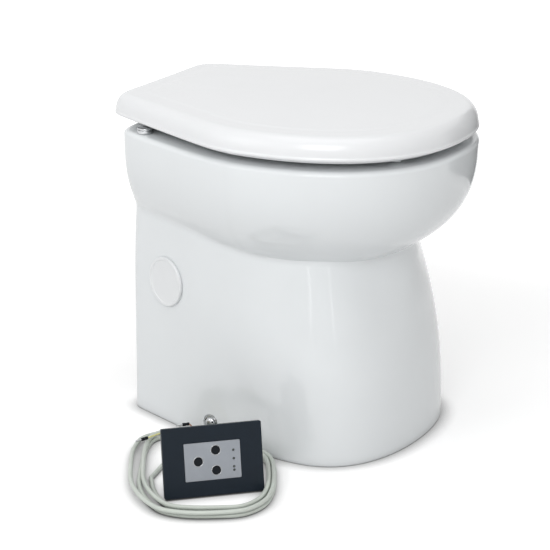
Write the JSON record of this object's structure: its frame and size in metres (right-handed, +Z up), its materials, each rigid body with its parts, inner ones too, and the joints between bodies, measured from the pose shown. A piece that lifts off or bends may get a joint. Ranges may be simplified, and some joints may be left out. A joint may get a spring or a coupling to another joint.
{
  "type": "electric marine toilet",
  "caption": "Compact boat toilet: ceramic bowl on a pedestal over a macerator pump, with hinged seat and lid and a wired push-button control panel.",
  "frame": {"origin": "on the floor, under the middle of the pedestal's rear wall", "axes": "+Z up, -Y to the front of the bowl, +Y out of the flat rear face, +X to the right of someone who stands behind the toilet"},
  "size_m": [0.5458, 0.4399, 0.4208],
  "materials": {
    "glazed_ceramic": "white glazed vitreous china, opaque and glossy",
    "cap_white": "white moulded plastic, satin gloss",
    "bracket_grey": "grey moulded plastic",
    "chrome": "polished chrome plate",
    "seat_white": "white enamelled seat, gloss",
    "stainless_steel": "bare stainless steel",
    "buffer_plastic": "soft translucent plastic",
    "pump_plastic": "black glass-filled plastic",
    "black_rubber": "black rubber",
    "lamination_steel": "stacked steel laminations with copper windings",
    "motor_paint": "black painted steel",
    "ferrite_magnet": "sintered ferrite",
    "brush_copper": "copper and carbon",
    "valve_brass": "turned brass",
    "clear_hose": "soft milky hose",
    "panel_black": "black satin plastic",
    "plate_silver": "silver-grey painted plate",
    "circuit_board": "green circuit board",
    "indicator_lens": "smoked lens",
    "button_black": "black satin button",
    "cable_sheath": "pale grey cable sheath",
    "core_yellow": "yellow insulated core with a crimped pin",
    "core_brown": "brown insulated core with a crimped pin"
  },
  "bodies": {
    "toilet": {"ceramic_bowl": "glazed_ceramic", "side_cap_left": "cap_white", "side_cap_right": "cap_white", "floor_bracket_left": "bracket_grey", "floor_bracket_right": "bracket_grey", "floor_bolt_left": "chrome", "floor_bolt_right": "chrome", "hinge_base_left": "chrome", "hinge_base_right": "chrome", "hinge_rod": "stainless_steel", "pump_housing": "pump_plastic", "pump_cover": "pump_plastic", "bowl_boot": "black_rubber", "boot_clamp_lower": "stainless_steel", "boot_clamp_upper": "stainless_steel", "motor_can": "motor_paint", "motor_end_cap": "motor_paint", "motor_magnet": "ferrite_magnet", "brush_plate": "brush_copper", "shaft_seal": "black_rubber", "pump_bracket": "stainless_steel", "motor_strap": "stainless_steel", "rubber_mat": "black_rubber", "discharge_pipe": "pump_plastic", "joker_valve": "black_rubber", "discharge_spigot": "pump_plastic", "solenoid_valve": "valve_brass", "solenoid_coil": "pump_plastic", "solenoid_spring": "stainless_steel", "rinse_hose": "clear_hose", "rinse_nozzle": "cap_white", "control_box": "bracket_grey", "control_box_lid": "bracket_grey", "panel_frame": "panel_black", "panel_plate": "plate_silver", "panel_back_box": "panel_black", "circuit_board": "circuit_board", "indicator_lights": "indicator_lens", "panel_cable": "cable_sheath", "cable_coil": "cable_sheath", "core_yellow": "core_yellow", "core_brown": "core_brown"},
    "seat": {"seat_ring": "seat_white", "seat_hinge_left": "chrome", "seat_hinge_right": "chrome", "seat_buffer_front_left": "buffer_plastic", "seat_buffer_front_right": "buffer_plastic", "seat_buffer_rear_left": "buffer_plastic", "seat_buffer_rear_right": "buffer_plastic"},
    "lid": {"lid": "seat_white", "lid_hinge_left": "chrome", "lid_hinge_right": "chrome"},
    "rotor": {"rotor_shaft": "stainless_steel", "impeller": "pump_plastic", "cutter_blade": "stainless_steel", "motor_armature": "lamination_steel"},
    "plunger": {"solenoid_plunger": "stainless_steel"},
    "button_top": {"button_top": "button_black"},
    "button_left": {"button_left": "button_black"},
    "button_bottom": {"button_bottom": "button_black"}
  },
  "joints": [
    {"name": "seat_hinge", "type": "hinge", "parent": "toilet", "child": "seat", "pos_m": [0, 0.017, 0.394], "axis": [-1, 0, 0], "range_deg": [0, 95]},
    {"name": "lid_hinge", "type": "hinge", "parent": "seat", "child": "lid", "pos_m": [0, 0.017, 0.394], "axis": [1, 0, 0], "range_deg": [-95, 0]},
    {"name": "pump_spin", "type": "hinge", "parent": "toilet", "child": "rotor", "pos_m": [0, -0.2, 0.076], "axis": [0, 1, 0], "continuous": true},
    {"name": "plunger_slide", "type": "slide", "parent": "toilet", "child": "plunger", "axis": [0, 0, 1], "range_m": [0, 0.003], "stiffness_N_per_m": 150, "springref_m": -0.002, "deforming": ["solenoid_spring"]},
    {"name": "button_top_press", "type": "slide", "parent": "toilet", "child": "button_top", "axis": [0.6861, 0.6861, -0.2419], "range_m": [0, 0.0006], "stiffness_N_per_m": 300, "springref_m": -0.0004},
    {"name": "button_left_press", "type": "slide", "parent": "toilet", "child": "button_left", "axis": [0.6861, 0.6861, -0.2419], "range_m": [0, 0.0006], "stiffness_N_per_m": 300, "springref_m": -0.0004},
    {"name": "button_bottom_press", "type": "slide", "parent": "toilet", "child": "button_bottom", "axis": [0.6861, 0.6861, -0.2419], "range_m": [0, 0.0006], "stiffness_N_per_m": 300, "springref_m": -0.0004}
  ]
}
